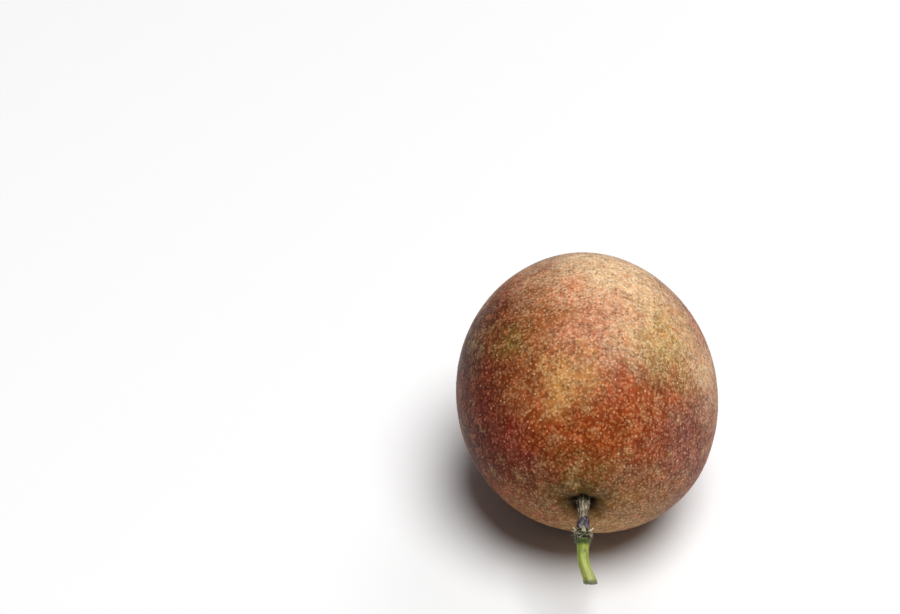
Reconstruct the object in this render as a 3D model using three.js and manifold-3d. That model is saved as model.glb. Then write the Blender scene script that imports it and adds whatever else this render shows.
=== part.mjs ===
// A whole passion fruit lying on its side, with the stalk that it was picked by.
// Millimetres, +Z up. The origin is in the middle of the small flat spot that the fruit
// rests on, and the stalk end points towards -Y.
import * as THREE from "three";
import { mergeVertices } from "three/addons/utils/BufferGeometryUtils.js";
import Module from "manifold-3d";

const wasm = await Module();
wasm.setup();

const degrees = THREE.MathUtils.degToRad;

// Overall form of the fruit
const HALF_WIDTH = 27.3; // mean radius across the stalk axis
const STALK_REACH = 32.8; // centre to the stalk end, before its hollow is pressed in
const BLOSSOM_REACH = 31.6; // centre to the blossom end
const AXIS_DROOP = degrees(6.4); // how far the stalk end points below the horizontal
const CENTRE = new THREE.Vector3(-1.5, 1.6, 25.9); // the fruit's centre above its flat spot

// The cross-section is round, drawn out a little to an oval with three soft sides
const OVAL_SHARE = 0.031;
const OVAL_TURN = degrees(-22);
const THREE_SIDES_SHARE = 0.016;
const THREE_SIDES_TURN = degrees(90);

// Broad, shallow swells and flats of the skin: direction, height and reach as an angle
const SWELLS = [
  { name: "upper left shoulder", toward: [-0.75, -0.15, 0.65], height: 0.4, reach: 0.55 },
  { name: "lower right cheek", toward: [0.7, -0.65, -0.3], height: 0.6, reach: 0.5 },
  { name: "flat on the right shoulder", toward: [0.8, -0.2, 0.6], height: -0.4, reach: 0.45 },
  { name: "flat on the back", toward: [0.25, 0.85, 0.45], height: -0.25, reach: 0.5 },
  { name: "swell at the back left", toward: [-0.7, 0.7, 0.1], height: 0.45, reach: 0.45 },
];

// The hollow round the stalk, with its puckered rim
const PIT_DEPTH = 1.9;
const PIT_REACH = 3.1;
const BASIN_DEPTH = 0.8;
const BASIN_REACH = 9;
const PUCKERS = 6;
const PUCKER_DEPTH = 0.28;
const PUCKER_REACH = 4.5;

// The low nub at the blossom end, with the small scar in its middle
const NUB_HEIGHT = 0.7;
const NUB_REACH = 3.6;
const NUB_PIT_DEPTH = 0.5;
const NUB_PIT_REACH = 1.1;

// Facets of the skin
const SKIN_SECTORS = 72;
const SKIN_RINGS = 46;
const RING_CROWDING = 1.25; // over 1 crowds the rings towards the stalk end

// The stalk's middle line from the fruit's centre: from its root in the hollow, along the
// fruit's axis, down past the flower's scar and round to the right at the cut tip
const STALK_ROUTE = [
  [0.25, -29.1, -3.35],
  [0.3, -32.0, -3.55],
  [0.35, -35.4, -3.9],
  [0.4, -38.2, -4.5],
  [0.45, -39.8, -5.2],
  [0.6, -42.2, -6.6],
  [1.0, -44.0, -7.6],
  [1.9, -45.8, -8.7],
  [2.5, -47.1, -9.6],
];
const STIPE_LENGTH = 8.6;
const SCAR_LENGTH = 1.5;
const GAP = 0.25; // kept between neighbouring pieces

const STIPE_RADIUS = 1.15;
const STIPE_FOOT_FLARE = 0.4;
const STIPE_RIDGES = 5;
const STIPE_RIDGE_SHARE = 0.07;

const SCAR_RADIUS = 1.5;
const SEPAL_STUBS = 5;
const SEPAL_STUB_RISE = 0.3;
const FILAMENT_STUBS = 12;
const FILAMENT_RADIUS = 0.2;
const FILAMENT_LENGTH = 0.95;
const FILAMENT_SUNK = 0.8;
const FILAMENT_SEED = 11;

const GREEN_RADIUS = 1.12;
const COLLAR_RISE = 0.5; // swelling of the green stalk where it carried the flower
const GREEN_RIDGES = 6;
const GREEN_RIDGE_SHARE = 0.05;
const TIP_FLARE = 0.22;
const TIP_SLANT = 0.35; // how far the cut is slanted, along the stalk

// Directions of the fruit: along its axis to the stalk end, to its right side, and upwards
const AXIS = new THREE.Vector3(0, -Math.cos(AXIS_DROOP), -Math.sin(AXIS_DROOP));
const RIGHT = new THREE.Vector3(1, 0, 0);
const RISE = new THREE.Vector3(0, -Math.sin(AXIS_DROOP), Math.cos(AXIS_DROOP));

// A bell curve that is 1 at zero and fades over the given reach
function bell(distance, reach) {
  return Math.exp(-((distance / reach) ** 2));
}

// How far the skin stands out, or lies in, at a direction from the centre
function swellAt(direction) {
  let height = 0;
  for (const swell of SWELLS) {
    const toward = new THREE.Vector3(...swell.toward).normalize();
    height += swell.height * bell(direction.angleTo(toward), swell.reach);
  }
  return height;
}

// Rise of the skin along the axis round the stalk: a pit in a shallow, puckered basin
function stalkHollow(distance, around) {
  const rib = Math.cos(PUCKERS * around) + 0.5 * Math.cos(3 * around + 1);
  const fade = (distance / PUCKER_REACH) * Math.exp(1 - distance / PUCKER_REACH);
  return (
    -PIT_DEPTH * bell(distance, PIT_REACH) -
    BASIN_DEPTH * bell(distance, BASIN_REACH) +
    PUCKER_DEPTH * rib * fade ** 2
  );
}

// Rise of the skin along the axis at the blossom end: a low nub with the scar's pit
function blossomNub(distance) {
  return NUB_HEIGHT * bell(distance, NUB_REACH) - NUB_PIT_DEPTH * bell(distance, NUB_PIT_REACH);
}

// A point of the skin, from the fruit's centre. The polar angle is 0 at the stalk end.
function skinPoint(polar, around) {
  const along = Math.cos(polar);
  const out = Math.sin(polar);
  const width =
    HALF_WIDTH *
    (1 +
      OVAL_SHARE * Math.cos(2 * (around - OVAL_TURN)) +
      THREE_SIDES_SHARE * Math.cos(3 * (around - THREE_SIDES_TURN)));
  const reach = along > 0 ? STALK_REACH : BLOSSOM_REACH;
  const point = new THREE.Vector3()
    .addScaledVector(AXIS, along * reach)
    .addScaledVector(RIGHT, out * width * Math.cos(around))
    .addScaledVector(RISE, out * width * Math.sin(around));
  const direction = point.clone().normalize();
  point.addScaledVector(direction, swellAt(direction));
  const rise =
    stalkHollow(HALF_WIDTH * polar, around) - blossomNub(HALF_WIDTH * (Math.PI - polar));
  return point.addScaledVector(AXIS, rise);
}

// A geometry with only its positions, and each shared corner once
function welded(geometry) {
  const bare = geometry.clone();
  bare.deleteAttribute("normal");
  bare.deleteAttribute("uv");
  return mergeVertices(bare, 1e-4);
}

function solidOf(geometry) {
  const closed = welded(geometry);
  return new wasm.Manifold(
    new wasm.Mesh({
      numProp: 3,
      vertProperties: closed.attributes.position.array,
      triVerts: new Uint32Array(closed.index.array),
    }),
  );
}

function geometryOf(solid) {
  const mesh = solid.getMesh();
  const geometry = new THREE.BufferGeometry();
  geometry.setAttribute("position", new THREE.BufferAttribute(mesh.vertProperties, mesh.numProp));
  geometry.setIndex(new THREE.BufferAttribute(mesh.triVerts, 1));
  geometry.computeVertexNormals();
  return geometry;
}

// Moves each corner of a geometry to where the given function says
function reshape(geometry, place) {
  const position = geometry.attributes.position;
  const corner = new THREE.Vector3();
  for (let i = 0; i < position.count; i++) {
    corner.fromBufferAttribute(position, i);
    const moved = place(corner);
    position.setXYZ(i, moved.x, moved.y, moved.z);
  }
  return geometry;
}

// Turns a geometry that stands along +Y to lie along a direction, with its middle at a point
function aimed(geometry, direction, middle) {
  const upright = new THREE.Vector3(0, 1, 0);
  geometry.applyQuaternion(new THREE.Quaternion().setFromUnitVectors(upright, direction));
  geometry.translate(middle.x, middle.y, middle.z);
  return geometry;
}

// The skin as one closed surface: a sphere's corners carried to the fruit's form
function skinGeometry() {
  const sphere = welded(new THREE.SphereGeometry(1, SKIN_SECTORS, SKIN_RINGS));
  return reshape(sphere, (corner) => {
    const even = Math.acos(THREE.MathUtils.clamp(corner.y, -1, 1)) / Math.PI;
    const polar = Math.PI * even ** RING_CROWDING;
    return skinPoint(polar, Math.atan2(-corner.z, corner.x));
  });
}

const stalkCurve = new THREE.CatmullRomCurve3(
  STALK_ROUTE.map((point) => new THREE.Vector3(...point)),
  false,
  "centripetal",
);
const stalkLength = stalkCurve.getLength();

// Place and directions of the stalk at a length along it: forwards, across and over
function stalkStation(length) {
  const share = length / stalkLength;
  const forwards = stalkCurve.getTangentAt(share);
  const across = new THREE.Vector3().crossVectors(forwards, RISE).normalize();
  const over = new THREE.Vector3().crossVectors(across, forwards);
  return { middle: stalkCurve.getPointAt(share), forwards, across, over };
}

// A rod along the stalk's middle line, from one length along it to another. Its radius
// depends on the length along the stalk and on the angle round it.
function stalkRod({ start, end, sides, steps, radiusAt, slant = 0 }) {
  const rod = welded(new THREE.CylinderGeometry(1, 1, 1, sides, steps));
  return reshape(rod, (corner) => {
    const along = corner.y + 0.5;
    const length = THREE.MathUtils.lerp(start, end, along);
    const angle = Math.atan2(corner.z, corner.x);
    const radius = Math.hypot(corner.x, corner.z) * radiusAt(length, angle);
    const { middle, forwards, across, over } = stalkStation(length);
    return middle
      .addScaledVector(across, radius * Math.cos(angle))
      .addScaledVector(over, radius * Math.sin(angle))
      .addScaledVector(forwards, -slant * along ** 8 * (1 + corner.x));
  });
}

// The thin stipe that carries the fruit, flared where it stands in the hollow
function stipeGeometry() {
  return stalkRod({
    start: 0,
    end: STIPE_LENGTH,
    sides: 20,
    steps: 12,
    radiusAt: (length, angle) =>
      (STIPE_RADIUS + STIPE_FOOT_FLARE * bell(length, 2.4)) *
      (1 + STIPE_RIDGE_SHARE * Math.cos(STIPE_RIDGES * angle)),
  });
}

// A small repeatable source of numbers from 0 to 1
function seededRandom(seed) {
  let state = seed;
  return () => {
    state = (state * 16807) % 2147483647;
    return state / 2147483647;
  };
}

// Thin dry stubs of the flower's filaments, set round the scar by a seeded draw
function filamentStubs() {
  const random = seededRandom(FILAMENT_SEED);
  const station = stalkStation(STIPE_LENGTH + GAP + SCAR_LENGTH / 2);
  return Array.from({ length: FILAMENT_STUBS }, (_, i) => {
    const angle = ((i + 0.6 * random()) / FILAMENT_STUBS) * 2 * Math.PI;
    const length = FILAMENT_SUNK + FILAMENT_LENGTH * (0.5 + random());
    const outward = new THREE.Vector3()
      .addScaledVector(station.across, Math.cos(angle))
      .addScaledVector(station.over, Math.sin(angle))
      .addScaledVector(station.forwards, 0.4 * (random() - 0.6))
      .normalize();
    const middle = station.middle
      .clone()
      .addScaledVector(outward, SCAR_RADIUS - FILAMENT_SUNK + length / 2);
    return aimed(new THREE.ConeGeometry(FILAMENT_RADIUS, length, 5), outward, middle);
  });
}

// The dry ragged ring that the flower left: five sepal stubs and a fringe of filaments
function scarGeometry() {
  const start = STIPE_LENGTH + GAP;
  const ring = stalkRod({
    start,
    end: start + SCAR_LENGTH,
    sides: 40,
    steps: 4,
    radiusAt: (length, angle) => {
      const belly = Math.sin((Math.PI * (length - start)) / SCAR_LENGTH);
      const sepals = SEPAL_STUB_RISE * Math.cos(SEPAL_STUBS * angle);
      return SCAR_RADIUS * 0.82 + (SCAR_RADIUS * 0.18 + sepals) * belly;
    },
  });
  const fringe = filamentStubs().map(solidOf);
  return geometryOf(fringe.reduce((joined, stub) => joined.add(stub), solidOf(ring)));
}

// The green stalk: a swollen collar under the scar, a ribbed stem, and the slanted cut
function greenStalkGeometry() {
  const start = STIPE_LENGTH + SCAR_LENGTH + 2 * GAP;
  return stalkRod({
    start,
    end: stalkLength,
    sides: 24,
    steps: 20,
    slant: TIP_SLANT,
    radiusAt: (length, angle) =>
      (GREEN_RADIUS +
        COLLAR_RISE * bell(length - start, 0.9) +
        TIP_FLARE * bell(stalkLength - length, 1.6)) *
      (1 + GREEN_RIDGE_SHARE * Math.cos(GREEN_RIDGES * angle)),
  });
}

// The plain round seat in the fruit that the stipe's root stands in
function seatSolid() {
  const radius = (STIPE_RADIUS + STIPE_FOOT_FLARE) * (1 + STIPE_RIDGE_SHARE) + GAP;
  const length = 4;
  const { middle, forwards } = stalkStation(0);
  middle.addScaledVector(forwards, length / 2 - GAP);
  return solidOf(aimed(new THREE.CylinderGeometry(radius, radius, length, 24), forwards, middle));
}

// Everything below the surface that the fruit rests on, which leaves the small flat spot
function groundSolid() {
  const size = 4 * HALF_WIDTH;
  const ground = new THREE.BoxGeometry(size, size, size);
  ground.translate(0, 0, -CENTRE.z - size / 2);
  return solidOf(ground);
}

function fruitGeometry() {
  return geometryOf(solidOf(skinGeometry()).subtract(groundSolid()).subtract(seatSolid()));
}

function piece(name, geometry, colour, roughness) {
  const material = new THREE.MeshStandardMaterial({ color: colour, roughness, metalness: 0 });
  const mesh = new THREE.Mesh(geometry, material);
  mesh.name = name;
  return mesh;
}

const passionFruit = new THREE.Group();
passionFruit.position.copy(CENTRE);
passionFruit.add(
  piece("fruit", fruitGeometry(), 0xa8583a, 0.45),
  piece("stipe", stipeGeometry(), 0x6a5a58, 0.7),
  piece("flower_scar", scarGeometry(), 0x5a4a38, 0.9),
  piece("green_stalk", greenStalkGeometry(), 0x93a83c, 0.5),
);

export default passionFruit;
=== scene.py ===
"""A passion fruit lying on its side with its stalk: surfaces, floor, light and camera."""

import math

import bmesh
import bpy
import numpy as np
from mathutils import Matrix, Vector, noise


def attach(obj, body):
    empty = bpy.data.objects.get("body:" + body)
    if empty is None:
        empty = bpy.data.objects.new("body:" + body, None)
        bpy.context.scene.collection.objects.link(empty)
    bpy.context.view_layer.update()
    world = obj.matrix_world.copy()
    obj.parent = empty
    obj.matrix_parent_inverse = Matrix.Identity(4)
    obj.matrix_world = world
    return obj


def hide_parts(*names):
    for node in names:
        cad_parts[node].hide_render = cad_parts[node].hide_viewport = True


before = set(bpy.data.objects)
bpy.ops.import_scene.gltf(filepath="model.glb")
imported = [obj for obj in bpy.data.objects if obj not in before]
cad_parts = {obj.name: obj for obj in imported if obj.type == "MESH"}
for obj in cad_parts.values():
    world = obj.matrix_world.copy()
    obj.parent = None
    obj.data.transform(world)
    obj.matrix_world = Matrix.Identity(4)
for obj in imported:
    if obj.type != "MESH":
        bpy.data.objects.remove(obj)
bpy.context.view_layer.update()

MM = 0.001

# The fruit's form, with the same values as the solids, in millimetres
HALF_WIDTH = 27.3
STALK_REACH = 32.8
BLOSSOM_REACH = 31.6
AXIS_DROOP = math.radians(6.4)
CENTRE = np.array([-1.5, 1.6, 25.9])
OVAL_SHARE, OVAL_TURN = 0.031, math.radians(-22)
THREE_SIDES_SHARE, THREE_SIDES_TURN = 0.016, math.radians(90)
SWELLS = (
    # direction, height, reach as an angle
    ((-0.75, -0.15, 0.65), 0.4, 0.55),
    ((0.7, -0.65, -0.3), 0.6, 0.5),
    ((0.8, -0.2, 0.6), -0.4, 0.45),
    ((0.25, 0.85, 0.45), -0.25, 0.5),
    ((-0.7, 0.7, 0.1), 0.45, 0.45),
)
PIT_DEPTH, PIT_REACH = 1.9, 3.1
BASIN_DEPTH, BASIN_REACH = 0.8, 9.0
PUCKERS, PUCKER_DEPTH, PUCKER_REACH = 6, 0.28, 4.5
NUB_HEIGHT, NUB_REACH = 0.7, 3.6
NUB_PIT_DEPTH, NUB_PIT_REACH = 0.5, 1.1

# The fine skin lies this far inside the solid's, so that its raised specks stay in the box
SKIN_SUNK = 0.09
SKIN_SECTORS, SKIN_RINGS = 320, 210
# Above 1, the skin's rings stand closer together at the stalk end
RING_CROWDING = 1.25

# The skin's fine unevenness, in millimetres
WAVE_HEIGHT, WAVE_SIZE = 0.05, 6.0
DIMPLE_HEIGHT, DIMPLE_SIZE = 0.022, 2.2
RELIEF_LIMIT = 0.05
FOLDS, FOLD_HEIGHT, FOLDS_FROM_STALK, FOLDS_REACH = 17, 0.06, 3.4, 2.4
RAYS, RAY_HEIGHT, RAYS_FROM_NUB, RAYS_REACH = 13, 0.04, 2.6, 1.6

# Places on the skin, in millimetres from the fruit's centre
HOLLOW_RIM = (0.2, -31.0, -3.4)
HOLLOW_PIT = (0.2, -30.0, -3.3)
BLOSSOM_SCAR = (0, 31.9, 3.6)
PATCH_DISTANCE = 29

# The stalk's middle line from the fruit's centre, as in the solids
STALK_ROUTE = (
    (0.25, -29.1, -3.35),
    (0.3, -32.0, -3.55),
    (0.35, -35.4, -3.9),
    (0.4, -38.2, -4.5),
    (0.45, -39.8, -5.2),
    (0.6, -42.2, -6.6),
    (1.0, -44.0, -7.6),
    (1.9, -45.8, -8.7),
    (2.5, -47.1, -9.6),
)
STIPE_LENGTH = 8.7
SCAR_LENGTH = 1.7
STIPE_RADIUS, SCAR_RADIUS, GREEN_RADIUS = 1.08, 1.15, 1.1

# A rod starts with two narrower rings and ends in a dish: shares of its radius and depth
START_SHARES = (0.35, 0.75)
DISH_SHARES = (0.9, 0.7, 0.45, 0.2)
DISH_DEPTHS = (0, 0.5, 0.9, 1)

SEPAL_STUBS, STUB_SECTORS, STUB_RINGS = 7, 14, 14

AXIS = np.array([0, -math.cos(AXIS_DROOP), -math.sin(AXIS_DROOP)])
RIGHT = np.array([1.0, 0, 0])
RISE = np.array([0, -math.sin(AXIS_DROOP), math.cos(AXIS_DROOP)])


# Shapes


def bell(distance, reach):
    """1 at zero, fading over the reach."""
    return np.exp(-((distance / reach) ** 2))


def ramp(value, low, high):
    """0 below low, 1 above high, and smooth between them."""
    share = np.clip((value - low) / (high - low), 0, 1)
    return share * share * (3 - 2 * share)


def wander(points, size, seed):
    """Soft random heights from -1 to 1 at points, with features about size apart."""
    shift = Vector((seed * 17.3, seed * 5.1, seed * 9.7))
    return np.array([noise.noise(Vector(point) / size + shift) for point in points])


def full_turn(sectors):
    """Even angles round a full turn."""
    return np.arange(sectors) / sectors * 2 * np.pi


def pairs(rows, columns):
    """Every row's value with every column's, row after row, as two flat arrays."""
    return (grid.ravel() for grid in np.meshgrid(rows, columns, indexing="ij"))


def ring_faces(rings, sectors):
    """Faces that join rings of corners, one after another, into a tube."""
    corner = np.arange(rings * sectors).reshape(rings, sectors)
    following = np.roll(corner, -1, axis=1)
    return np.stack(
        (corner[:-1], following[:-1], following[1:], corner[1:]), axis=-1
    ).reshape(-1, 4)


def end_middles(points, sectors):
    """Middles of a tube's first and last rings."""
    return np.stack((points[:sectors].mean(axis=0), points[-sectors:].mean(axis=0)))


def tube(points, rings, sectors, ends, first=0):
    """Corners and faces of a closed tube; first is the number of its first corner."""
    faces = (ring_faces(rings, sectors) + first).tolist()
    near, far = first + rings * sectors, first + rings * sectors + 1
    last_ring = first + (rings - 1) * sectors
    for i in range(sectors):
        j = (i + 1) % sectors
        faces.append((near, first + j, first + i))
        faces.append((far, last_ring + i, last_ring + j))
    return np.vstack((points, ends)), faces


def outwards(mesh):
    """Turns every face of a closed mesh to look outwards."""
    work = bmesh.new()
    work.from_mesh(mesh)
    bmesh.ops.recalc_face_normals(work, faces=work.faces)
    work.to_mesh(mesh)
    work.free()


def mesh_piece(name, corners, faces, material):
    """A smooth piece from corners in millimetres from the fruit's centre."""
    mesh = bpy.data.meshes.new(name)
    mesh.from_pydata(((corners + CENTRE) * MM).tolist(), [], faces)
    mesh.materials.append(material)
    mesh.shade_smooth()
    outwards(mesh)
    piece = bpy.data.objects.new(name, mesh)
    bpy.context.scene.collection.objects.link(piece)
    return piece


def store(piece, name, kind, field, values):
    """Stores a value for each corner of a piece, which its material reads."""
    attribute = piece.data.attributes.new(name, kind, "POINT")
    attribute.data.foreach_set(field, np.asarray(values, dtype=np.float32).ravel())


# Fruit


def stalk_hollow(polar, around):
    """Rise along the axis round the stalk: a pit in a shallow, puckered basin."""
    distance = HALF_WIDTH * polar
    rib = np.cos(PUCKERS * around) + 0.5 * np.cos(3 * around + 1)
    fade = distance / PUCKER_REACH * np.exp(1 - distance / PUCKER_REACH)
    return (
        -PIT_DEPTH * bell(distance, PIT_REACH)
        - BASIN_DEPTH * bell(distance, BASIN_REACH)
        + PUCKER_DEPTH * rib * fade**2
    )


def blossom_nub(polar):
    """Rise along the axis at the blossom end: a low nub with a small scar in it."""
    distance = HALF_WIDTH * (np.pi - polar)
    nub = NUB_HEIGHT * bell(distance, NUB_REACH)
    return nub - NUB_PIT_DEPTH * bell(distance, NUB_PIT_REACH)


def skin_points(polar, around):
    """Points of the skin, from the fruit's centre; polar is 0 at the stalk end."""
    along, out = np.cos(polar), np.sin(polar)
    width = HALF_WIDTH * (
        1
        + OVAL_SHARE * np.cos(2 * (around - OVAL_TURN))
        + THREE_SIDES_SHARE * np.cos(3 * (around - THREE_SIDES_TURN))
    )
    reach = np.where(along > 0, STALK_REACH, BLOSSOM_REACH)
    points = (
        np.outer(along * reach, AXIS)
        + np.outer(out * width * np.cos(around), RIGHT)
        + np.outer(out * width * np.sin(around), RISE)
    )
    direction = points / np.linalg.norm(points, axis=1, keepdims=True)
    lift = np.full(len(points), -SKIN_SUNK)
    for toward, height, spread in SWELLS:
        toward = np.array(toward) / np.linalg.norm(toward)
        lift += height * bell(np.arccos(np.clip(direction @ toward, -1, 1)), spread)
    points += direction * lift[:, None]
    return points + np.outer(stalk_hollow(polar, around) - blossom_nub(polar), AXIS)


def fine_relief(points, polar, around):
    """The rind's fine unevenness, with folds round the stalk and rays round the nub."""
    height = WAVE_HEIGHT * wander(points, WAVE_SIZE, 1)
    height = height + DIMPLE_HEIGHT * wander(points, DIMPLE_SIZE, 2)
    near_stalk = bell(HALF_WIDTH * polar - FOLDS_FROM_STALK, FOLDS_REACH)
    folds = np.cos(FOLDS * around + 2.5 * wander(points, 5.0, 3))
    near_nub = bell(HALF_WIDTH * (np.pi - polar) - RAYS_FROM_NUB, RAYS_REACH)
    rays = np.cos(RAYS * around + 2.0 * wander(points, 4.0, 4))
    return (
        np.minimum(height, RELIEF_LIMIT)
        + FOLD_HEIGHT * folds * near_stalk
        + RAY_HEIGHT * rays * near_nub
    )


def make_skin(material):
    """The rind, as a fine closed surface that is flat where it rests on the floor."""
    rings = np.pi * (np.arange(1, SKIN_RINGS) / SKIN_RINGS) ** RING_CROWDING
    polar, around = pairs(rings, full_turn(SKIN_SECTORS))
    points = skin_points(polar, around)
    direction = points / np.linalg.norm(points, axis=1, keepdims=True)
    points += direction * fine_relief(points, polar, around)[:, None]
    ends = skin_points(np.array([0, np.pi]), np.zeros(2))
    points[:, 2] = np.maximum(points[:, 2], -CENTRE[2])
    return mesh_piece("rind", *tube(points, SKIN_RINGS - 1, SKIN_SECTORS, ends), material)


# Stalk


def catmull_rom(points, steps=30):
    """Points along the smooth line that the solids' stalk follows."""
    points = np.array(points)
    points = np.vstack((2 * points[0] - points[1], points, 2 * points[-1] - points[-2]))
    line = []
    share = np.linspace(0, 1, steps, endpoint=False)[:, None]
    for p0, p1, p2, p3 in zip(points, points[1:], points[2:], points[3:]):
        d0, d1, d2 = (np.sqrt(np.linalg.norm(b - a)) for a, b in ((p0, p1), (p1, p2), (p2, p3)))
        leave = ((p1 - p0) / d0 - (p2 - p0) / (d0 + d1) + (p2 - p1) / d1) * d1
        arrive = ((p2 - p1) / d1 - (p3 - p1) / (d1 + d2) + (p3 - p2) / d2) * d1
        line.append(
            p1
            + leave * share
            + (3 * (p2 - p1) - 2 * leave - arrive) * share**2
            + (2 * (p1 - p2) + leave + arrive) * share**3
        )
    return np.vstack((*line, points[-2]))


STALK_LINE = catmull_rom(STALK_ROUTE)
STALK_LENGTHS = np.concatenate(
    ([0], np.cumsum(np.linalg.norm(np.diff(STALK_LINE, axis=0), axis=1)))
)
STALK_LENGTH = STALK_LENGTHS[-1]


def stalk_middle(length):
    """Points on the stalk's middle line at lengths along it."""
    columns = [np.interp(length, STALK_LENGTHS, STALK_LINE[:, k]) for k in range(3)]
    return np.stack(columns, -1)


def stalk_station(length):
    """Middle of the stalk at lengths along it, and its forwards, across and over."""
    length, nearby = np.atleast_1d(length), 0.15
    ahead = stalk_middle(np.minimum(length + nearby, STALK_LENGTH))
    forwards = ahead - stalk_middle(np.maximum(length - nearby, 0))
    forwards /= np.linalg.norm(forwards, axis=1, keepdims=True)
    across = np.cross(forwards, RISE)
    across /= np.linalg.norm(across, axis=1, keepdims=True)
    return stalk_middle(length), forwards, across, np.cross(across, forwards)


def rod_stations(start, end, rings, dish):
    """Lengths and shares of the radius for a rod whose end is dished and start is closed."""
    body = np.linspace(start, end, rings)
    lengths = np.concatenate(([start] * len(START_SHARES), body, end - dish * np.array(DISH_DEPTHS)))
    shares = np.concatenate((START_SHARES, np.ones(rings), DISH_SHARES))
    return lengths, shares


def stalk_rod(name, stations, sectors, radius_at, material, push=None):
    """A closed rod along the stalk; radius_at and push depend on length and angle."""
    lengths, around = pairs(stations[0], full_turn(sectors))
    shares = np.repeat(stations[1], sectors)
    middle, forwards, across, over = stalk_station(lengths)
    radius = radius_at(lengths, around) * shares
    spoke = across * np.cos(around)[:, None] + over * np.sin(around)[:, None]
    points = middle + radius[:, None] * spoke
    if push:
        points += forwards * push(lengths, around, radius)[:, None]
    rings = len(stations[0])
    ends = end_middles(points, sectors)
    piece = mesh_piece(name, *tube(points, rings, sectors, ends), material)

    course = np.stack((radius * np.cos(around), radius * np.sin(around), lengths), -1)
    course = np.vstack((course, (0, 0, stations[0][0]), (0, 0, stations[0][-1])))
    dished = np.arange(rings) >= rings - len(DISH_SHARES)
    store(piece, "course", "FLOAT_VECTOR", "vector", course)
    store(piece, "cut", "FLOAT", "value", np.concatenate((dished.repeat(sectors), (0, 1))))
    return piece


def grain(length, around, size, stretch, seed):
    """Random heights, from -1 to 1, drawn out along the stalk."""
    course = np.stack((np.cos(around), np.sin(around), length / stretch), -1)
    return wander(course, size, seed)


def make_stipe(material):
    """The thin ribbed stipe, flared in the hollow and shrivelled where it is drying."""
    def radius_at(length, around):
        ribs = 0.06 * np.cos(5 * around + 0.3 * length)
        ribs = ribs + 0.035 * np.cos(9 * around - 0.2 * length)
        wrinkles = 0.11 * grain(length, around, 0.4, 5, 5)
        wrinkles = wrinkles + 0.06 * grain(length, around, 0.3, 1.5, 12)
        foot = 0.5 * bell(length, 2.2)
        head = 0.2 * bell(length - 7.2, 1.3)
        waist = -0.12 * bell(length - 4.6, 1.4)
        return (STIPE_RADIUS + foot + head + waist) * (1 + ribs + wrinkles)

    stations = rod_stations(0, STIPE_LENGTH, 110, 0.1)
    return stalk_rod("stipe_skin", stations, 72, radius_at, material)


def make_scar_ring(material):
    """The knotted ring from which the dry flower broke off."""
    start, end = STIPE_LENGTH - 0.1, STIPE_LENGTH + SCAR_LENGTH

    def radius_at(length, around):
        share = np.clip((length - start) / (end - start), 0, 1)
        belly = np.sin(np.pi * share) ** 0.5
        knots = 0.16 * grain(length, around, 0.28, 1, 6) + 0.1 * grain(length, around, 0.12, 1, 7)
        grooves = -0.14 * bell(share - 0.35, 0.09) - 0.1 * bell(share - 0.68, 0.07)
        return SCAR_RADIUS + (0.32 + knots + grooves + 0.09 * np.cos(5 * around)) * belly

    def push(length, around, radius):
        return 0.12 * grain(length, around, 0.25, 1, 8) * ramp(radius, 1.0, 1.4)

    stations = rod_stations(start, end, 40, 0.05)
    return stalk_rod("scar_ring", stations, 96, radius_at, material, push)


def sepal_stub(draw, number):
    """Points of one torn papery stub, rooted in the scar ring and curled to the fruit."""
    turn = 2 * np.pi * number / SEPAL_STUBS + draw.uniform(-0.25, 0.25)
    length = draw.uniform(0.9, 1.8)
    width = draw.uniform(0.3, 0.6)
    curl = draw.uniform(0.3, 1.5)
    lean = draw.uniform(-0.5, 0.5)
    root = STIPE_LENGTH + draw.uniform(0.35, 1.1)
    middle, forwards, across, over = (row[0] for row in stalk_station(root))
    outward = across * np.cos(turn) + over * np.sin(turn)
    sideways = np.cross(forwards, outward)
    share, around = pairs(np.linspace(0, 1, STUB_RINGS), full_turn(STUB_SECTORS))
    bend = share * curl
    rise = length * (0.55 * share + 0.45 * np.sin(bend) / curl)
    back = length * (1 - np.cos(bend)) / curl
    torn = wander(np.stack((share * 3, np.cos(around), 0 * share + number), -1), 0.5, 20)
    taper = (1 - 0.75 * share**1.5) * (1 + 0.25 * torn)
    half = width * taper * np.cos(around) + lean * share**2 * 0.6
    ridge = 0.09 * (1 - 0.6 * share) * np.sin(around) + 0.12 * np.cos(around) ** 2 * share
    return (
        middle
        + np.outer(1.1 + rise, outward)
        + np.outer(half, sideways)
        - np.outer(back + ridge, forwards)
    )


def make_sepal_stubs(material):
    """Stubs of sepals and bracts round the scar ring, each with its draw of tone."""
    draw = np.random.default_rng(11)
    corners, faces, tones = [], [], []
    for number in range(SEPAL_STUBS):
        points = sepal_stub(draw, number)
        ends, first = end_middles(points, STUB_SECTORS), sum(map(len, corners))
        stub, stub_faces = tube(points, STUB_RINGS, STUB_SECTORS, ends, first)
        corners.append(stub)
        faces.extend(stub_faces)
        tones.append(np.full(len(stub), draw.uniform(0, 1)))
    piece = mesh_piece("sepal_stubs", np.vstack(corners), faces, material)
    store(piece, "tone", "FLOAT", "value", np.concatenate(tones))
    return piece


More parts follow.
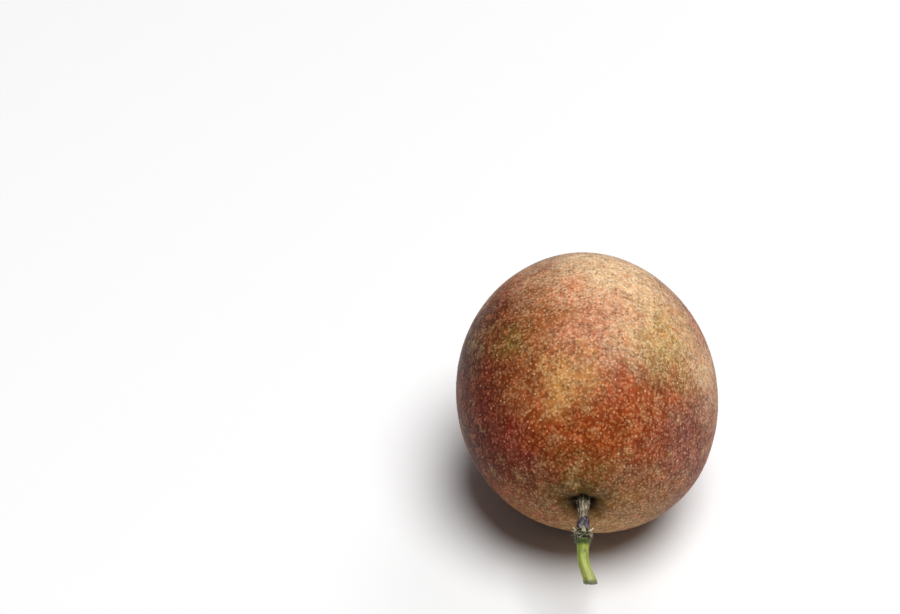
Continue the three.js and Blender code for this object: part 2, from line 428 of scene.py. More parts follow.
def make_green_stalk(material):
    """The green stalk: swollen collar, ribbed stem and the slanted, dished cut."""
    start = STIPE_LENGTH + SCAR_LENGTH - 0.05
    end = STALK_LENGTH - 0.05

    def radius_at(length, around):
        collar = 0.52 * bell(length - start - 0.3, 0.85)
        tip = 0.2 * bell(end - length, 1.5)
        ribs = 0.045 * np.cos(6 * around) + 0.015 * np.cos(17 * around)
        skin = 0.03 * grain(length, around, 0.5, 4, 9) + 0.012 * grain(length, around, 0.15, 3, 10)
        torn = 0.06 * grain(length, around, 0.2, 1, 13) * bell(end - length, 0.3)
        rounded = -0.05 * bell(end - length, 0.1) - 0.25 * bell(length - start, 0.15)
        return (GREEN_RADIUS + collar + tip) * (1 + ribs + skin + torn + rounded)

    def push(length, around, radius):
        slant = -0.35 * ramp(length, end - 2.2, end) * (1 + np.cos(around))
        ragged = 0.08 * grain(length, around, 0.25, 1, 14) * ramp(length, end - 0.3, end)
        return slant + ragged

    stations = rod_stations(start, end, 130, 0.22)
    piece = stalk_rod("green_stalk_skin", stations, 80, radius_at, material, push)
    piece.data.set_sharp_from_angle(angle=math.radians(50))
    return piece


# Nodes


def fill(tree, sockets, values):
    """Links or sets input sockets by their names or numbers."""
    for name, value in values.items():
        if isinstance(value, bpy.types.NodeSocket):
            tree.links.new(value, sockets[name])
        else:
            sockets[name].default_value = value


def node(tree, kind, inputs=None, **settings):
    """Adds a node, with its settings and inputs."""
    made = tree.nodes.new(kind)
    for name, value in settings.items():
        setattr(made, name, value)
    fill(tree, made.inputs, inputs or {})
    return made


def maths(tree, operation, first, second=0.0):
    return node(tree, "ShaderNodeMath", {0: first, 1: second}, operation=operation).outputs[0]


def vector_maths(tree, operation, first, second):
    inputs = {0: first, 1: second}
    return node(tree, "ShaderNodeVectorMath", inputs, operation=operation).outputs[0]


def combine(tree, x=0.0, y=0.0, z=0.0):
    return node(tree, "ShaderNodeCombineXYZ", {0: x, 1: y, 2: z}).outputs[0]


def separate(tree, vector):
    return node(tree, "ShaderNodeSeparateXYZ", {0: vector}).outputs


def mix(tree, factor, first, second):
    """Colours mixed by a factor."""
    inputs = {"Factor": factor, 6: first, 7: second}
    return node(tree, "ShaderNodeMix", inputs, data_type="RGBA").outputs[2]


def smooth(tree, value, low, high, to_low=0.0, to_high=1.0):
    """A value carried smoothly from one range to another."""
    inputs = {
        "Value": value,
        "From Min": low,
        "From Max": high,
        "To Min": to_low,
        "To Max": to_high,
    }
    return node(tree, "ShaderNodeMapRange", inputs, interpolation_type="SMOOTHSTEP").outputs[0]


def clouds(tree, place, size, detail, roughness, seed):
    """Soft noise from 0 to 1; size, in millimetres, may be a number or a socket."""
    if isinstance(size, bpy.types.NodeSocket):
        scale = maths(tree, "DIVIDE", 1 / MM, size)
    else:
        scale = 1 / (size * MM)
    inputs = {"Vector": place, "W": seed, "Scale": scale, "Detail": detail, "Roughness": roughness}
    return node(tree, "ShaderNodeTexNoise", inputs, noise_dimensions="4D").outputs[0]


def cells(tree, place, size):
    """Scattered cells of a size in millimetres: distance from their middles, and a draw."""
    made = node(tree, "ShaderNodeTexVoronoi", {"Vector": place, "Scale": 1 / (size * MM)})
    draw = node(tree, "ShaderNodeSeparateColor", {0: made.outputs["Color"]})
    return made.outputs["Distance"], draw.outputs[0]


def jitter(tree, place, size, reach, detail=2.0):
    """Place pushed about at random, by features of a size and up to half a reach."""
    inputs = {"Vector": place, "Scale": 1 / (size * MM), "Detail": detail, "Roughness": 0.6}
    drift = node(tree, "ShaderNodeTexNoise", inputs).outputs[1]
    push = node(
        tree,
        "ShaderNodeVectorMath",
        {0: drift, 1: (reach * MM,) * 3, 2: (-reach / 2 * MM,) * 3},
        operation="MULTIPLY_ADD",
    ).outputs[0]
    return vector_maths(tree, "ADD", place, push)


def distance_to(tree, place, point):
    """Distance in metres to a point given in millimetres from the fruit's centre."""
    target = tuple(((np.array(point) + CENTRE) * MM).tolist())
    made = node(tree, "ShaderNodeVectorMath", {0: place, 1: target}, operation="DISTANCE")
    return made.outputs["Value"]


def fading(tree, distance, outer, inner, strength):
    """Mask that is nothing beyond the outer distance and full within the inner one."""
    return smooth(tree, distance, outer * MM, inner * MM, 0.0, strength)


def stored(tree, name, output="Fac"):
    """A value stored on the piece's corners."""
    return node(tree, "ShaderNodeAttribute", attribute_name=name).outputs[output]


def object_place(tree):
    return tree.nodes.new("ShaderNodeTexCoord").outputs["Object"]


def bump(tree, height, strength, depth):
    """Surface direction for a relief whose depth is in millimetres."""
    inputs = {"Strength": strength, "Distance": depth * MM, "Height": height}
    return node(tree, "ShaderNodeBump", inputs).outputs[0]


def new_group(kind, name, inputs, outputs):
    """An empty node group with named inputs and outputs, and their sockets inside it."""
    group = bpy.data.node_groups.new(name, kind)
    for side, sockets in (("INPUT", inputs), ("OUTPUT", outputs)):
        for label, value in sockets.items():
            group.interface.new_socket(label, in_out=side, socket_type="NodeSocket" + value)
    given = group.nodes.new("NodeGroupInput").outputs
    wanted = group.nodes.new("NodeGroupOutput").inputs
    return group, given, wanted


def place_group(tree, group, **inputs):
    """Puts a group into a tree, and gives its outputs."""
    return node(tree, "ShaderNodeGroup", inputs, node_tree=group).outputs


def new_material(name):
    """A material with only its surface shader: the material, its tree, the shader's inputs."""
    material = bpy.data.materials.new(name)
    material.use_nodes = True
    tree = material.node_tree
    return material, tree, tree.nodes["Principled BSDF"].inputs


# Colours


def srgb(red, green, blue):
    """A colour given as on a screen, 0 to 255, as the linear values that nodes take."""
    def linear(value):
        value /= 255
        return value / 12.92 if value <= 0.04045 else ((value + 0.055) / 1.055) ** 2.4

    return (linear(red), linear(green), linear(blue), 1.0)


MAROON = srgb(94, 14, 5)
ROSE = srgb(116, 33, 22)
BRICK = srgb(178, 80, 42)
RUSSET = srgb(130, 70, 36)
RUST = srgb(126, 50, 11)
CHESTNUT = srgb(94, 38, 12)
AMBER = srgb(188, 128, 64)
STRAW = srgb(184, 146, 84)
PEACH = srgb(204, 165, 121)
SALMON = srgb(190, 116, 78)
OCHRE = srgb(146, 84, 42)
MOSS = srgb(112, 88, 36)
MAUVE = srgb(119, 66, 53)
TAN = srgb(163, 119, 70)
OLIVE = srgb(92, 64, 20)
# Dark brown, partly painted shade on the left side of the fruit
SHADE_BROWN = srgb(48, 20, 6)
# Near black, painted shade in the pit round the stalk
PIT_SHADE = srgb(34, 22, 8)
CREAM = srgb(238, 204, 160)
PIT_BROWN = srgb(92, 46, 22)
RIM_OLIVE = srgb(84, 66, 28)
NUB_CORK = srgb(138, 106, 68)
SCAR_BROWN = srgb(52, 36, 22)

STIPE_DARK, STIPE_PALE = srgb(48, 39, 29), srgb(124, 110, 88)
STIPE_FOOT, STIPE_BARE, STIPE_CRACK = srgb(66, 56, 26), srgb(216, 206, 182), srgb(22, 16, 12)
PURPLE_DARK, PURPLE_PALE = srgb(26, 19, 34), srgb(66, 55, 76)
RING_DARK, RING_PALE = srgb(34, 34, 20), srgb(110, 100, 66)
SEPAL_DARK, SEPAL_PALE = srgb(84, 70, 44), srgb(220, 210, 180)
FILAMENT_DARK, FILAMENT_PALE = srgb(46, 36, 22), srgb(206, 196, 168)
DRY_GREEN = srgb(60, 68, 34)
GREEN_DARK, GREEN_PALE = srgb(110, 128, 37), srgb(158, 168, 67)
GREEN_YELLOWED, GREEN_COLLAR = srgb(168, 164, 92), srgb(44, 58, 26)
GREEN_BRUISE, GREEN_TIP = srgb(74, 80, 34), srgb(92, 98, 62)
CUT_PALE, CUT_DARK = srgb(150, 148, 112), srgb(82, 82, 54)

# The rind's soft patches, among them a painted highlight on the top and painted shade on the left:
# name, direction from the centre, reach in millimetres, colour, strength
RIND_PATCHES = (
    ("maroon left cheek", (-0.82, -0.55, 0.2), 20, MAROON, 0.95),
    # Pale peach, partly a painted highlight where the light falls on the top
    ("peach crown", (0.16, 0.24, 0.95), 24, PEACH, 1.0),
    ("salmon brow", (0.05, -0.4, 0.91), 13, SALMON, 0.75),
    ("salmon streak", (-0.18, 0.0, 0.98), 8, SALMON, 0.7),
    ("peach brow", (0.3, -0.4, 0.87), 9, PEACH, 0.5),
    ("ochre left shoulder", (-0.42, -0.3, 0.86), 12, OCHRE, 0.85),
    # Darker brown on the left flank, partly painted shade
    ("chestnut left flank", (-0.76, -0.2, 0.62), 16, CHESTNUT, 0.95),
    # Dark brown on the left edge, partly painted shade
    ("brown left edge", (-0.9, -0.05, 0.42), 14, SHADE_BROWN, 0.8),
    ("moss left", (-0.6, -0.36, 0.71), 7, MOSS, 0.5),
    ("ochre left", (-0.4, -0.66, 0.64), 9, OCHRE, 0.6),
    ("amber middle", (-0.12, -0.72, 0.68), 8.5, AMBER, 1.0),
    ("straw right shoulder", (0.62, -0.26, 0.74), 13, STRAW, 0.85),
    ("peach right flank", (0.95, -0.15, 0.38), 14, PEACH, 0.7),
    ("brick spot", (0.26, -0.82, 0.51), 9, BRICK, 0.95),
    ("russet right cheek", (0.6, -0.65, 0.46), 10, RUSSET, 0.8),
    ("rust below the middle", (0.16, -0.91, 0.37), 15, RUST, 0.95),
    ("mauve right cheek", (0.7, -0.72, 0.05), 15, MAUVE, 0.9),
    ("rose spot", (-0.42, -0.88, 0.2), 8, ROSE, 0.7),
    # Dark brown low on the left, partly painted shade
    ("brown low left", (-0.78, -0.6, -0.12), 14, SHADE_BROWN, 0.8),
    ("tan underside", (0.15, -0.85, -0.45), 21, TAN, 0.95),
    ("olive rim of the hollow", (-0.02, -0.99, 0.06), 9, OLIVE, 0.9),
    ("maroon back", (0.3, 0.9, 0.1), 19, MAROON, 0.8),
    ("straw back left", (-0.65, 0.7, 0.3), 16, STRAW, 0.6),
    ("mauve left flank", (-0.9, 0.2, -0.4), 16, MAUVE, 0.8),
    ("amber low back", (0.2, 0.6, -0.75), 18, AMBER, 0.7),
)

# Lengths along the stalk, in millimetres, over which a colour comes in
FOOT_OLIVE = (3.2, 1.2)
HEAD_PURPLE = (5.4, 6.6)
SKIN_TORN = (7.8, 5.2)
COLLAR_DARK = (12.1, 11.2)
STEM_YELLOW = (14.5, 17.5)
TIP_DULL = (STALK_LENGTH - 1.1, STALK_LENGTH - 0.4)


# Materials of the fruit


def patched(tree, place):
    """The rind's large soft patches, with ragged edges; the pale one on the top is partly a painted
    highlight, and dark ones on the left are partly painted shade.
    """
    ragged = jitter(tree, place, 7, 18, 4)
    ground = smooth(tree, clouds(tree, place, 12, 2, 0.5, 1), 0.35, 0.65)
    colour = mix(tree, ground, CHESTNUT, RUST)
    for _, toward, reach, patch, strength in RIND_PATCHES:
        toward = np.array(toward) / np.linalg.norm(toward)
        distance = distance_to(tree, ragged, toward * PATCH_DISTANCE)
        mask = fading(tree, distance, 1.2 * reach, 0.05 * reach, strength)
        colour = mix(tree, mask, colour, patch)
    return colour


def mottled(tree, place, colour):
    """A colour with flushes of brick and straw, now deeper and now paler."""
    flush = smooth(tree, clouds(tree, place, 3.2, 3, 0.6, 2), 0.5, 0.7, 0.0, 0.35)
    colour = mix(tree, flush, colour, BRICK)
    yellowing = smooth(tree, clouds(tree, place, 3.6, 3, 0.6, 3), 0.54, 0.74, 0.0, 0.3)
    colour = mix(tree, yellowing, colour, STRAW)
    depth = smooth(tree, clouds(tree, place, 1.8, 3, 0.65, 4), 0.34, 0.66, 0.74, 1.2)
    return node(tree, "ShaderNodeHueSaturation", {"Value": depth, "Color": colour}).outputs[0]


def spots(tree, place, size, edge, strength):
    """Mask of scattered spots; edge is where they fade, strength what each draw gives."""
    distance, draw = cells(tree, place, size)
    return maths(tree, "MULTIPLY", smooth(tree, distance, *edge), smooth(tree, draw, *strength))


def with_ends(tree, place, colour):
    """A colour with the olive rim of the hollow, painted shade in its pit, and the corky blossom scar.
    """
    scar_place = distance_to(tree, jitter(tree, place, 1.1, 2.6, 3), BLOSSOM_SCAR)
    for distance, outer, inner, strength, paint in (
        (distance_to(tree, place, HOLLOW_RIM), 6.5, 3.0, 0.75, RIM_OLIVE),
        # Painted shade in the pit round the stalk
        (distance_to(tree, place, HOLLOW_PIT), 3.6, 2.2, 0.9, PIT_SHADE),
        (scar_place, 3.6, 1.2, 0.7, NUB_CORK),
        (scar_place, 1.2, 0.4, 0.9, SCAR_BROWN),
    ):
        colour = mix(tree, fading(tree, distance, outer, inner, strength), colour, paint)
    return colour


def rind_colour_group():
    """Colour of the rind with its flecks, colour of its pale specks, and its small pits."""
    tree, given, wanted = new_group(
        "ShaderNodeTree",
        "Rind colour",
        {"Place": "Vector"},
        {"Colour": "Color", "Pale": "Color", "Pits": "Float"},
    )
    place = given["Place"]
    colour = mottled(tree, place, patched(tree, place))
    pale = node(tree, "ShaderNodeGamma", {"Color": colour, "Gamma": 0.58}).outputs[0]

    rough_place = jitter(tree, place, 0.4, 0.6)
    blotches = spots(tree, rough_place, 1.2, (0.62, 0.3), (0.1, 0.7, 0.0, 0.35))
    colour = mix(tree, blotches, colour, pale)
    flecks = spots(tree, rough_place, 0.62, (0.55, 0.34), (0.0, 0.6, 0.2, 0.9))
    colour = mix(tree, flecks, colour, pale)
    pits = spots(tree, place, 0.8, (0.48, 0.2), (0.42, 0.6))
    colour = mix(tree, maths(tree, "MULTIPLY", pits, 0.55), colour, PIT_BROWN)
    fill(tree, wanted, {"Colour": with_ends(tree, place, colour), "Pale": pale, "Pits": pits})
    return tree


def rind_material(rind_colour):
    """The rind's satin skin, softly uneven and pitted."""
    material, tree, surface = new_material("rind")
    place = object_place(tree)
    rind = place_group(tree, rind_colour, Place=place)
    sunk = maths(tree, "MULTIPLY", rind["Pits"], -0.5)
    height = maths(tree, "ADD", clouds(tree, place, 0.7, 3, 0.6, 6), sunk)
    rough = smooth(tree, clouds(tree, place, 2.5, 3, 0.6, 5), 0.3, 0.7, 0.42, 0.54)
    values = {
        "Base Color": rind["Colour"],
        "Roughness": rough,
        "Specular IOR Level": 0.08,
        "Normal": bump(tree, height, 0.5, 0.05),
    }
    fill(tree, surface, values)
    return material


def speck_material(rind_colour):
    """Pale corky specks that fade into the rind's colour at their edges."""
    material, tree, surface = new_material("speck")
    place = object_place(tree)
    rind = place_group(tree, rind_colour, Place=place)
    corky = smooth(tree, stored(tree, "tone"), 0.0, 1.0, 0.05, 0.35)
    cover = smooth(tree, stored(tree, "middle"), 0.0, 0.6)
    values = {
        "Base Color": mix(tree, cover, rind["Colour"], mix(tree, corky, rind["Pale"], CREAM)),
        "Roughness": 0.6,
        "Specular IOR Level": 0.3,
        "Normal": bump(tree, clouds(tree, place, 0.25, 2, 0.6, 7), 0.4, 0.03),
    }
    fill(tree, surface, values)
    return material


# Materials of the stalk


def stalk_streaks_group():
    """Streaks drawn out along the stalk, between two colours; also the length along it."""
    tree, given, wanted = new_group(
        "ShaderNodeTree",
        "Stalk streaks",
        {"Dark": "Color", "Pale": "Color", "Stretch": "Float", "Finest": "Float", "Seed": "Float"},
        {"Colour": "Color", "Streaks": "Float", "Course": "Vector", "Length": "Float"},
    )
    course = stored(tree, "course", "Vector")
    scale = combine(tree, MM, MM, maths(tree, "DIVIDE", MM, given["Stretch"]))
    drawn = vector_maths(tree, "MULTIPLY", course, scale)
    streaks = clouds(tree, drawn, given["Finest"], 3, 0.6, given["Seed"])
    values = {
        "Colour": mix(tree, smooth(tree, streaks, 0.35, 0.62), given["Dark"], given["Pale"]),
        "Streaks": streaks,
        "Course": drawn,
        "Length": separate(tree, course)[2],
    }
    fill(tree, wanted, values)
    return tree


def stipe_material(stalk_streaks):
    """Dry grey-brown skin with pale torn streaks, olive in the hollow and dark purple above."""
    material, tree, surface = new_material("stipe")
    skin = place_group(
        tree, stalk_streaks, Dark=STIPE_DARK, Pale=STIPE_PALE, Stretch=6.0, Finest=0.45, Seed=20.0
    )
    streaks, course, length = skin["Streaks"], skin["Course"], skin["Length"]
    foot = smooth(tree, length, *FOOT_OLIVE, 0.0, 0.8)
    colour = mix(tree, foot, skin["Colour"], STIPE_FOOT)
    purple = mix(tree, smooth(tree, streaks, 0.4, 0.62), PURPLE_DARK, PURPLE_PALE)
    head = smooth(tree, length, *HEAD_PURPLE, 0.0, 0.95)
    colour = mix(tree, head, colour, purple)
    torn = smooth(tree, clouds(tree, course, 0.3, 4, 0.7, 21), 0.53, 0.6)
    bare = maths(tree, "MULTIPLY", torn, smooth(tree, length, *SKIN_TORN, 0.2, 0.95))
    colour = mix(tree, bare, colour, STIPE_BARE)
    cracks = smooth(tree, clouds(tree, course, 0.35, 3, 0.6, 22), 0.4, 0.34)
    values = {
        "Base Color": mix(tree, maths(tree, "MULTIPLY", cracks, 0.8), colour, STIPE_CRACK),
        "Roughness": 0.65,
        "Specular IOR Level": 0.3,
        "Normal": bump(tree, streaks, 0.8, 0.15),
    }
    fill(tree, surface, values)
    return material


def dry_tissue_group():
    """Dead papery tissue, from dark to pale with green traces, and its fine relief."""
    tree, given, wanted = new_group(
        "ShaderNodeTree",
        "Dry tissue",
        {"Place": "Vector", "Tone": "Float", "Dark": "Color", "Pale": "Color", "Seed": "Float"},
        {"Colour": "Color", "Relief": "Float"},
    )
    place, seed = given["Place"], given["Seed"]
    tatter = clouds(tree, place, 0.5, 4, 0.65, seed)
    tatter = maths(tree, "ADD", tatter, maths(tree, "MULTIPLY", given["Tone"], 0.35))
    colour = mix(tree, smooth(tree, tatter, 0.46, 0.72), given["Dark"], given["Pale"])
    traces = clouds(tree, place, 1.1, 2, 0.5, maths(tree, "ADD", seed, 1.0))
    colour = mix(tree, smooth(tree, traces, 0.5, 0.62, 0.0, 0.5), colour, DRY_GREEN)
    relief = clouds(tree, place, 0.2, 3, 0.6, maths(tree, "ADD", seed, 2.0))
    fill(tree, wanted, {"Colour": colour, "Relief": relief})
    return tree


def dry_material(name, dry_tissue, dark, pale, seed):
    """Dead papery tissue with a draw of tone for each shred."""
    material, tree, surface = new_material(name)
    place, tone = object_place(tree), stored(tree, "tone")
    tissue = place_group(
        tree, dry_tissue, Place=place, Tone=tone, Dark=dark, Pale=pale, Seed=seed
    )
    values = {
        "Base Color": tissue["Colour"],
        "Roughness": 0.85,
        "Specular IOR Level": 0.2,
        "Normal": bump(tree, tissue["Relief"], 0.7, 0.1),
    }
    fill(tree, surface, values)
    return material


def green_material(stalk_streaks):
    """Fresh ribbed green, dark at the collar, yellower below, dull where it was cut."""
    material, tree, surface = new_material("green_stalk")
    place = object_place(tree)
    skin = place_group(
        tree, stalk_streaks, Dark=GREEN_DARK, Pale=GREEN_PALE, Stretch=9.0, Finest=0.35, Seed=30.0
    )
    length = skin["Length"]
    yellow = smooth(tree, length, *STEM_YELLOW, 0.0, 0.5)
    colour = mix(tree, yellow, skin["Colour"], GREEN_YELLOWED)
    collar = smooth(tree, length, *COLLAR_DARK, 0.0, 0.9)
    colour = mix(tree, collar, colour, GREEN_COLLAR)
    bruise = smooth(tree, clouds(tree, place, 1.2, 3, 0.6, 31), 0.56, 0.68, 0.0, 0.6)
    colour = mix(tree, bruise, colour, GREEN_BRUISE)
    tip = smooth(tree, length, *TIP_DULL, 0.0, 0.8)
    colour = mix(tree, tip, colour, GREEN_TIP)
    fibres = cells(tree, place, 0.22)[0]
    cut_face = mix(tree, smooth(tree, fibres, 0.2, 0.6), CUT_PALE, CUT_DARK)
    values = {
        "Base Color": mix(tree, stored(tree, "cut"), colour, cut_face),
        "Roughness": 0.45,
        "Specular IOR Level": 0.35,
        "Normal": bump(tree, skin["Streaks"], 0.5, 0.1),
    }
    fill(tree, surface, values)
    return material


# Specks and filaments


def grow(name, host, tree, values):
    """Runs a geometry tree on a piece and keeps what grows on it as a plain mesh."""
    work = bpy.data.objects.new(name, host.data)
    bpy.context.scene.collection.objects.link(work)
    modifier = work.modifiers.new(name, "NODES")
    modifier.node_group = tree
    for item in tree.interface.items_tree:
        if item.in_out == "INPUT" and item.name in values:
            modifier[item.identifier] = values[item.name]
    seen = work.evaluated_get(bpy.context.evaluated_depsgraph_get())
    mesh = bpy.data.meshes.new_from_object(seen)
    work.modifiers.remove(modifier)
    work.data = mesh
    mesh.name = name
    return work


def random_value(tree, low, high, seed):
    """A draw between two numbers for each point or instance."""
    inputs = {2: low, 3: high, "Seed": seed}
    return node(tree, "FunctionNodeRandomValue", inputs, data_type="FLOAT").outputs[1]


def random_push(tree, reach, seed):
    """A draw of a vector whose parts lie between minus and plus a reach."""
    inputs = {0: (-reach,) * 3, 1: (reach,) * 3, "Seed": seed}
    return node(tree, "FunctionNodeRandomValue", inputs, data_type="FLOAT_VECTOR").outputs[0]


def store_field(tree, geometry, name, value, domain):
    """Stores a value on each part of a geometry."""
    return node(
        tree,
        "GeometryNodeStoreNamedAttribute",
        {"Geometry": geometry, "Name": name, "Value": value},
        data_type="FLOAT",
        domain=domain,
    ).outputs[0]


def moved(tree, mesh, place):
    """A mesh with its corners at new places."""
    return node(tree, "GeometryNodeSetPosition", {"Geometry": mesh, "Position": place}).outputs[0]


def plant(tree, points, shape, toward, scale, material):
    """The shape at each point, spun by a draw, with a draw of tone, real and coloured."""
    turn = node(tree, "FunctionNodeAlignRotationToVector", {"Vector": toward}, axis="Z").outputs[0]
    spun = {"Rotation": turn, "Rotate By": combine(tree, z=random_value(tree, 0.0, math.tau, 3))}
    turn = node(tree, "FunctionNodeRotateRotation", spun, rotation_space="LOCAL").outputs[0]
    shapes = {"Points": points, "Instance": shape, "Rotation": turn, "Scale": scale}
    placed = node(tree, "GeometryNodeInstanceOnPoints", shapes).outputs[0]
    toned = store_field(tree, placed, "tone", random_value(tree, 0.0, 1.0, 4), "INSTANCE")
    real = node(tree, "GeometryNodeRealizeInstances", {"Geometry": toned}).outputs[0]
    rounded = node(tree, "GeometryNodeSetShadeSmooth", {"Geometry": real}).outputs[0]
    coloured = {"Geometry": rounded, "Material": material}
    return node(tree, "GeometryNodeSetMaterial", coloured).outputs[0]


def speck_share(tree):
    """Share of the specks kept at a place: uneven, none in the hollow or under the fruit."""
    place = tree.nodes.new("GeometryNodeInputPosition").outputs[0]
    above = smooth(tree, separate(tree, place)[2], 0.2 * MM, 0.3 * MM)
    clear = smooth(tree, distance_to(tree, place, HOLLOW_RIM), 2.6 * MM, 5.0 * MM)
    uneven = smooth(tree, clouds(tree, place, 2.5, 3, 0.6, 8), 0.35, 0.6, 0.3, 1.0)
    return maths(tree, "MULTIPLY", maths(tree, "MULTIPLY", above, clear), uneven)


def speck_shape(tree):
    """A six-sided dome of radius 1 that rises 1 above the skin, with its rim below it."""
    inputs = {"Vertices": 6, "Side Segments": 2, "Radius Bottom": 1.0, "Depth": 1.0}
    cone = node(tree, "GeometryNodeMeshCone", inputs).outputs["Mesh"]
    x, y, _ = separate(tree, tree.nodes.new("GeometryNodeInputPosition").outputs[0])
    flat = node(tree, "ShaderNodeVectorMath", {0: combine(tree, x, y)}, operation="LENGTH")
    from_middle = flat.outputs["Value"]
    dome = maths(tree, "SUBTRACT", 1.0, maths(tree, "MULTIPLY", from_middle, from_middle))
    height = maths(tree, "SUBTRACT", maths(tree, "MULTIPLY", dome, 1.6), 0.6)
    middle = maths(tree, "SUBTRACT", 1.0, from_middle)
    cone = store_field(tree, cone, "middle", middle, "POINT")
    return moved(tree, cone, combine(tree, x, y, height))


def speck_tree():
    """Low round specks spread over the rind, each turned, stretched and sized by a draw."""
    tree, given, wanted = new_group(
        "GeometryNodeTree",
        "Specks",
        {
            "Geometry": "Geometry",
            "Spacing": "Float",
            "Density": "Float",
            "Radius": "Float",
            "Height": "Float",
            "Seed": "Int",
            "Material": "Material",
        },
        {"Geometry": "Geometry"},
    )
    spread = node(
        tree,
        "GeometryNodeDistributePointsOnFaces",
        {
            "Mesh": given["Geometry"],
            "Distance Min": given["Spacing"],
            "Density Max": given["Density"],
            "Density Factor": speck_share(tree),
            "Seed": given["Seed"],
        },
        distribute_method="POISSON",
    ).outputs
    size = maths(tree, "POWER", random_value(tree, 0.0, 1.0, 1), 2.0)
    size = maths(tree, "ADD", maths(tree, "MULTIPLY", size, 0.9), 0.55)
    width = maths(tree, "MULTIPLY", size, given["Radius"])
    length = maths(tree, "MULTIPLY", width, random_value(tree, 0.65, 1.0, 2))
    scale = combine(tree, width, length, given["Height"])
    shape = speck_shape(tree)
    grown = plant(tree, spread["Points"], shape, spread["Normal"], scale, given["Material"])
    fill(tree, wanted, {"Geometry": grown})
    return tree


def filament_shape(tree):
    """A thin four-sided shred that bends to one side, 1 long."""
    inputs = {"Vertices": 4, "Side Segments": 4, "Radius Top": 0.35, "Radius Bottom": 1.0, "Depth": 1.0}
    shred = node(tree, "GeometryNodeMeshCone", inputs).outputs["Mesh"]
    x, y, z = separate(tree, tree.nodes.new("GeometryNodeInputPosition").outputs[0])
    curl = maths(tree, "MULTIPLY", maths(tree, "POWER", z, 2.0), 5.0)
    return moved(tree, shred, combine(tree, maths(tree, "ADD", x, curl), y, z))


def filament_tree():
    """Thin dry filaments that stand out from the scar ring and curl back to the fruit."""
    tree, given, wanted = new_group(
        "GeometryNodeTree",
        "Filaments",
        {
            "Geometry": "Geometry",
            "Density": "Float",
            "Length": "Float",
            "Radius": "Float",
            "Seed": "Int",
            "Material": "Material",
        },
        {"Geometry": "Geometry"},
    )
    spread = node(
        tree,
        "GeometryNodeDistributePointsOnFaces",
        {"Mesh": given["Geometry"], "Density": given["Density"], "Seed": given["Seed"]},
    ).outputs
    toward = vector_maths(tree, "ADD", spread["Normal"], random_push(tree, 0.9, 1))
    toward = vector_maths(tree, "ADD", toward, (0.0, 0.5, 0.15))
    share = maths(tree, "POWER", random_value(tree, 0.4, 1.0, 2), 2.0)
    length = maths(tree, "MULTIPLY", given["Length"], share)
    scale = combine(tree, given["Radius"], given["Radius"], length)
    shape = filament_shape(tree)
    grown = plant(tree, spread["Points"], shape, toward, scale, given["Material"])
    fill(tree, wanted, {"Geometry": grown})
    return tree


# Floor, light and camera, in metres unless it says otherwise

FLOOR_REACH, FLOOR_GREY, FLOOR_ROUGHNESS = 12.0, 0.77, 0.6
LIGHTS_AIM = (0, 0, 0.03)
LIGHTS = (
    # name, place, size, power
    ("overhead", (0.58, -0.3, 2.95), 2.2, 119),
    ("behind", (1.1, 2.6, 2.3), 1.6, 22),
)
ROOM_LIGHT, ROOM_SEEN = 0.09, 0.85
CAMERA_FROM_CENTRE = np.array([-5.95, -256.9, 221.6])  # millimetres
CAMERA_DOWN, CAMERA_TURN = 38, 5.2  # degrees
CAMERA_LENS, SENSOR_WIDTH = 63.2, 36  # millimetres


def make_floor():
    """A plain pale floor that runs far beyond the picture."""
    mesh = bpy.data.meshes.new("floor")
    near, far = -FLOOR_REACH, FLOOR_REACH
    corners = [(near, near, 0), (far, near, 0), (far, far, 0), (near, far, 0)]
    mesh.from_pydata(corners, [], [(0, 1, 2, 3)])
    material, tree, surface = new_material("floor")
    grey = (FLOOR_GREY, FLOOR_GREY, FLOOR_GREY, 1)
    fill(tree, surface, {"Base Color": grey, "Roughness": FLOOR_ROUGHNESS})
    mesh.materials.append(material)
    floor = bpy.data.objects.new("floor", mesh)
    bpy.context.scene.collection.objects.link(floor)


def area_light(name, place, size, power):
    """A round lamp that faces the fruit."""
    light = bpy.data.lights.new(name, "AREA")
    light.shape = "DISK"
    light.size = size
    light.energy = power
    lamp = bpy.data.objects.new(name, light)
    lamp.location = place
    lamp.rotation_euler = (Vector(LIGHTS_AIM) - Vector(place)).to_track_quat("-Z", "Y").to_euler()
    bpy.context.scene.collection.objects.link(lamp)


def make_light():
    """A broad soft light high overhead, a weak one behind, and a pale even room."""
    for name, place, size, power in LIGHTS:
        area_light(name, place, size, power)
    world = bpy.data.worlds.new("room")
    world.use_nodes = True
    tree = world.node_tree
    seen = tree.nodes.new("ShaderNodeLightPath").outputs["Is Camera Ray"]
    inputs = {"Value": seen, "To Min": ROOM_LIGHT, "To Max": ROOM_SEEN}
    strength = node(tree, "ShaderNodeMapRange", inputs).outputs[0]
    background = tree.nodes["Background"].inputs
    fill(tree, background, {"Color": (1, 1, 1, 1), "Strength": strength})
    bpy.context.scene.world = world


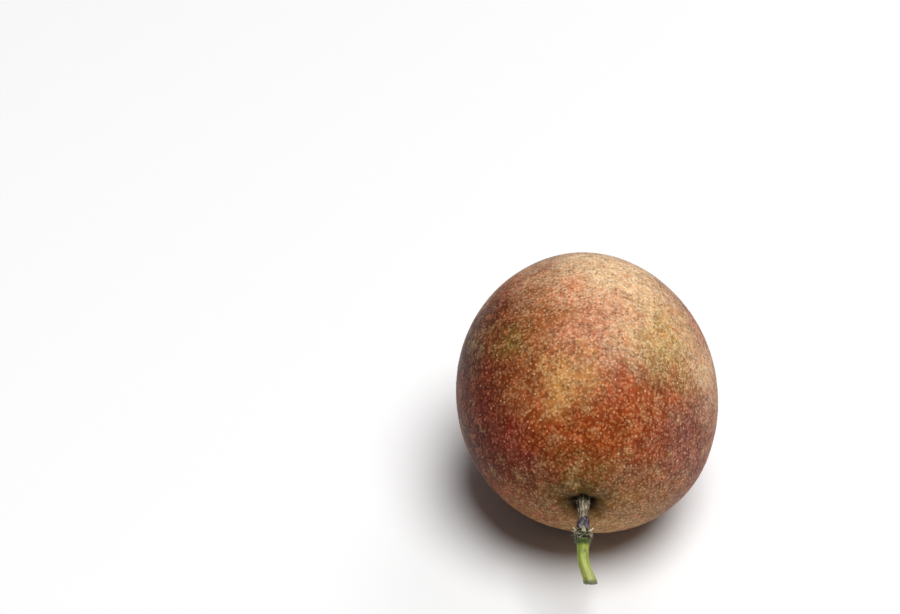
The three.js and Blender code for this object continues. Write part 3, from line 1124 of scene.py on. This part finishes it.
def make_camera():
    """The photograph's view: from above the stalk end, the fruit right of the middle."""
    camera = bpy.data.cameras.new("camera")
    camera.sensor_width = SENSOR_WIDTH
    camera.lens = CAMERA_LENS
    camera.clip_start = 0.01
    view = bpy.data.objects.new("camera", camera)
    view.location = (CENTRE + CAMERA_FROM_CENTRE) * MM
    view.rotation_euler = (math.radians(90 - CAMERA_DOWN), 0, math.radians(CAMERA_TURN))
    bpy.context.scene.collection.objects.link(view)
    bpy.context.scene.camera = view


# The whole picture


def dress(piece, node_name):
    """Hangs a piece under the root body and hides the solid that it stands for."""
    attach(piece, "root")
    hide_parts(node_name)


def dress_fruit():
    """The rind and the specks that grow on it."""
    rind_colour = rind_colour_group()
    rind = make_skin(rind_material(rind_colour))
    values = {
        "Spacing": 0.95 * MM,
        "Density": 1.2e6,
        "Radius": 0.3 * MM,
        "Height": 0.05 * MM,
        "Seed": 4,
        "Material": speck_material(rind_colour),
    }
    specks = grow("specks", rind, speck_tree(), values)
    for piece in (rind, specks):
        dress(piece, "fruit")


def dress_flower_scar():
    """The scar ring, its sepal stubs and its filaments."""
    tissue = dry_tissue_group()
    ring = make_scar_ring(dry_material("dry_ring", tissue, RING_DARK, RING_PALE, 9.0))
    stubs = make_sepal_stubs(dry_material("dry_sepal", tissue, SEPAL_DARK, SEPAL_PALE, 14.0))
    values = {
        "Density": 5e6,
        "Length": 1.0 * MM,
        "Radius": 0.07 * MM,
        "Seed": 2,
        "Material": dry_material("dry_filament", tissue, FILAMENT_DARK, FILAMENT_PALE, 17.0),
    }
    filaments = grow("filaments", ring, filament_tree(), values)
    for piece in (ring, stubs, filaments):
        dress(piece, "flower_scar")


def main():
    dress_fruit()
    stalk_streaks = stalk_streaks_group()
    dress(make_stipe(stipe_material(stalk_streaks)), "stipe")
    dress_flower_scar()
    dress(make_green_stalk(green_material(stalk_streaks)), "green_stalk")
    make_floor()
    make_light()
    make_camera()
    bpy.context.scene.view_settings.view_transform = "Standard"
    bpy.context.scene.view_settings.look = "None"


main()
